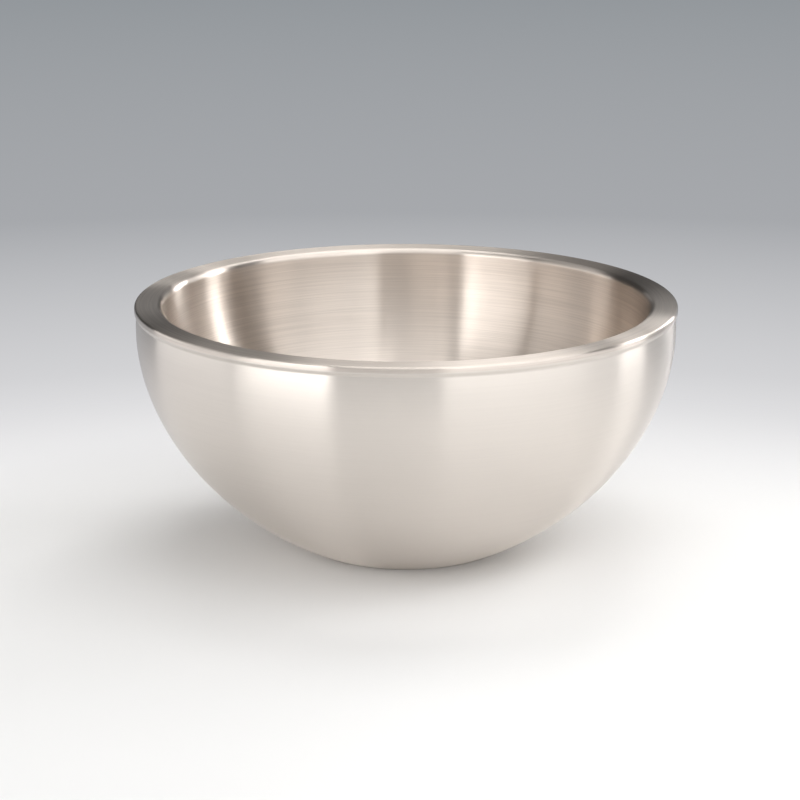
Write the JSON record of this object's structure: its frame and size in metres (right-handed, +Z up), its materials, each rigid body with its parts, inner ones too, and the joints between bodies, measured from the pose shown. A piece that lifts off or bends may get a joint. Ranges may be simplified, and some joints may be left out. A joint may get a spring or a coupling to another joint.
{
  "type": "double-walled steel bowl",
  "caption": "Round double-walled serving bowl in brushed steel, with a flat folded rim, a near half-sphere wall and a small flat base.",
  "frame": {"origin": "centre of the base on the plane that the bowl stands on", "axes": "+Z up along the bowl's axis; X and Y across the rim"},
  "size_m": [0.24, 0.24, 0.111],
  "materials": {
    "lining_steel": "brushed round the axis, satin",
    "brushed_steel": "brushed round the axis, satin",
    "ground_weld": "ground and polished",
    "base_steel": "dull mill finish",
    "raw_weld": "weld bead with heat tint",
    "plug_steel": "turned"
  },
  "bodies": {
    "root": {"inner_bowl": "lining_steel", "outer_bowl": "brushed_steel", "rim_weld": "ground_weld", "base_disc": "base_steel", "base_weld": "raw_weld", "vent_plug": "plug_steel"}
  },
  "joints": []
}
